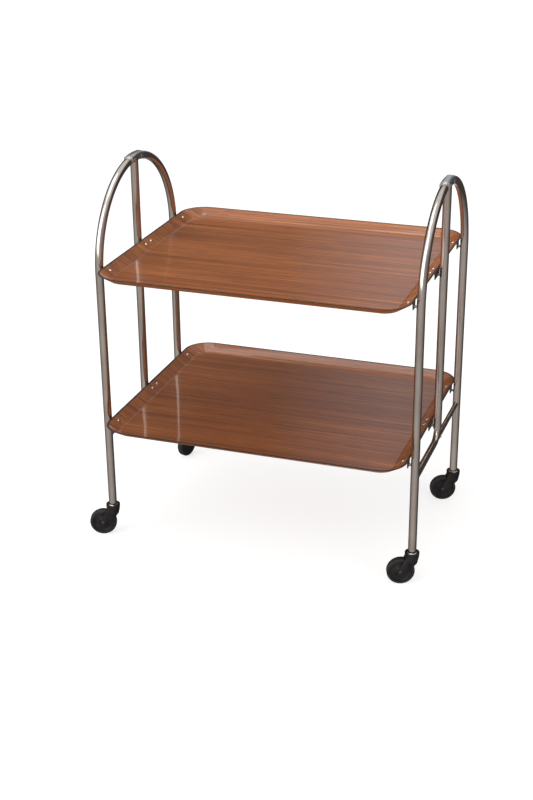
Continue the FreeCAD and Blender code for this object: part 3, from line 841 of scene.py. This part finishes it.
for corner in CORNERS:
    for profile, node_end, finish, slot in (
        (hub_profile, "_wheel_hub", plastic, "black_plastic"),
        (tyre_profile, "_tyre", rubber, "black_rubber"),
    ):
        ring = at_corner(turned(profile, (TRAIL, 0, AXLE_Z), (0, 1, 0), around=96), corner)
        piece = closed_mesh(corner + node_end + "_turned", [(ring, "loop")], smooth_angle=40)
        fit_piece(piece, finish, corner + "_wheel", slot, corner + node_end)

# ---- studio ----
# A pale floor that glows faintly, so that only a soft shadow is left. A softbox hangs overhead, with three
# fills that stay out of the reflections. The warm room has a bright window in front and darkens behind.


def studio_floor():
    """Pale matt floor: a barely visible unevenness, and a faint even glow."""
    material, nodes, links, shader, place = material_nodes("studio floor")
    cloud = stretched_noise(nodes, links, place, (1.5, 1.5, 1.5), 2)
    tint = colour_ramp(nodes, links, cloud, [(0.3, (0.33, 0.33, 0.33)), (0.7, (0.34, 0.34, 0.34))])
    links.new(tint, shader.inputs["Base Color"])
    shader.inputs["Emission Color"].default_value = (1, 1, 1, 1)
    shader.inputs["Emission Strength"].default_value = 0.70
    shader.inputs["Roughness"].default_value = 1.0
    shader.inputs["Specular IOR Level"].default_value = 0.0
    return material


def softbox(name, place, aim, size, power, in_reflections):
    """A square area light at a place, turned to face a point. It may be kept out of the reflections."""
    data = bpy.data.lights.new(name, "AREA")
    data.shape = "SQUARE"
    data.size = size
    data.energy = power
    lamp = bpy.data.objects.new(name, data)
    lamp.visible_glossy = in_reflections
    bpy.context.scene.collection.objects.link(lamp)
    away = np.array(place, float) - np.array(aim, float)
    away /= np.linalg.norm(away)
    lamp.matrix_world = looking(away, place, 0.0)
    return lamp


def looking(away, place, roll):
    """Matrix of a camera or lamp whose back points along away, rolled about that line."""
    right = np.cross(np.array([0.0, 0.0, 1.0]), away) if abs(away[2]) < 0.999 else np.array([1.0, 0.0, 0.0])
    right /= np.linalg.norm(right)
    up = np.cross(away, right)
    turned_right = math.cos(roll) * right + math.sin(roll) * up
    turned_up = -math.sin(roll) * right + math.cos(roll) * up
    columns = np.stack([turned_right, turned_up, away, np.asarray(place, float)], axis=1)
    return Matrix(np.vstack([columns, [0, 0, 0, 1]]).tolist())


floor_size = 40.0
floor_mesh = bpy.data.meshes.new("studio floor")
floor_corners = [(-1, -1, 0), (1, -1, 0), (1, 1, 0), (-1, 1, 0)]
floor_mesh.from_pydata((np.array(floor_corners) * floor_size).tolist(), [], [(0, 1, 2, 3)])
floor_mesh.materials.append(studio_floor())
studio_ground = bpy.data.objects.new("studio_floor", floor_mesh)
studio_ground.visible_glossy = False
bpy.context.scene.collection.objects.link(studio_ground)

softbox("overhead softbox", (-0.6, -0.2, 3.6), (0, 0, 0.3), 1.8, 30, True)
softbox("overhead fill", (0.0, 0.0, 3.8), (0, 0, 0.3), 5.0, 10, False)
softbox("left fill", (-3.4, -2.4, 1.0), (0, 0, 0.3), 2.6, 88, False)
softbox("right fill", (3.4, -2.4, 1.0), (0, 0, 0.3), 2.6, 88, False)

world = bpy.data.worlds.new("studio room")
world.use_nodes = True
world_nodes, world_links = world.node_tree.nodes, world.node_tree.links
background = world_nodes["Background"]
direction = world_nodes.new("ShaderNodeTexCoord")
split = world_nodes.new("ShaderNodeSeparateXYZ")
world_links.new(direction.outputs["Generated"], split.inputs["Vector"])
front_share = number_range(world_nodes, world_links, split.outputs["Y"], 1.0, 0.0, -0.9, 0.5)
room_stops = [(0.0, (0.07, 0.06, 0.055)), (1.0, (0.56, 0.52, 0.49))]
room_colour = colour_ramp(world_nodes, world_links, front_share, room_stops)


def room_panel(first, *others):
    """Where all of several soft edges, each along one axis of the direction, are passed."""
    axis, start, end = first
    inside = number_range(world_nodes, world_links, split.outputs[axis], 0.0, 1.0, start, end)
    for axis, start, end in others:
        share = number_range(world_nodes, world_links, split.outputs[axis], 0.0, 1.0, start, end)
        product = world_nodes.new("ShaderNodeMath")
        product.operation = "MULTIPLY"
        world_links.new(inside, product.inputs[0])
        world_links.new(share, product.inputs[1])
        inside = product.outputs["Value"]
    return inside


back_window = room_panel(("X", -0.30, -0.22), ("X", -0.08, -0.15), ("Y", 0.55, 0.75))
ceiling = room_panel(("Z", 0.45, 0.75))
front_window = room_panel(("Y", -0.25, -0.60), ("Z", 0.02, 0.15), ("X", 0.25, 0.10))
for share, colour in (
    (back_window, (0.50, 0.58, 0.66, 1)),
    (ceiling, (0.95, 0.93, 0.91, 1)),
    (front_window, (3.0, 3.0, 3.05, 1)),
):
    lit_room = world_nodes.new("ShaderNodeMix")
    lit_room.data_type = "RGBA"
    lit_room.inputs["B"].default_value = colour
    world_links.new(share, lit_room.inputs["Factor"])
    world_links.new(room_colour, lit_room.inputs["A"])
    room_colour = lit_room.outputs["Result"]
world_links.new(room_colour, background.inputs["Color"])
background.inputs["Strength"].default_value = 1.0
bpy.context.scene.world = world
bpy.context.scene.view_settings.view_transform = "Standard"

# ---- camera ----
# The camera stands a little to the right of the front and looks down on the trolley.
azimuth, elevation, roll = math.radians(19.37), math.radians(24.0), math.radians(-0.56)
camera_distance = 2.9025
target = np.array([-0.0260, 0.0, 0.2559])
away = np.array([
    math.sin(azimuth) * math.cos(elevation),
    -math.cos(azimuth) * math.cos(elevation),
    math.sin(elevation),
])
camera_data = bpy.data.cameras.new("camera")
camera_data.sensor_fit = "VERTICAL"
camera_data.sensor_height = 36.0
camera_data.lens = 64.65
camera_data.clip_end = 100.0
camera = bpy.data.objects.new("camera", camera_data)
bpy.context.scene.collection.objects.link(camera)
camera.matrix_world = looking(away, target + away * camera_distance, roll)
bpy.context.scene.camera = camera
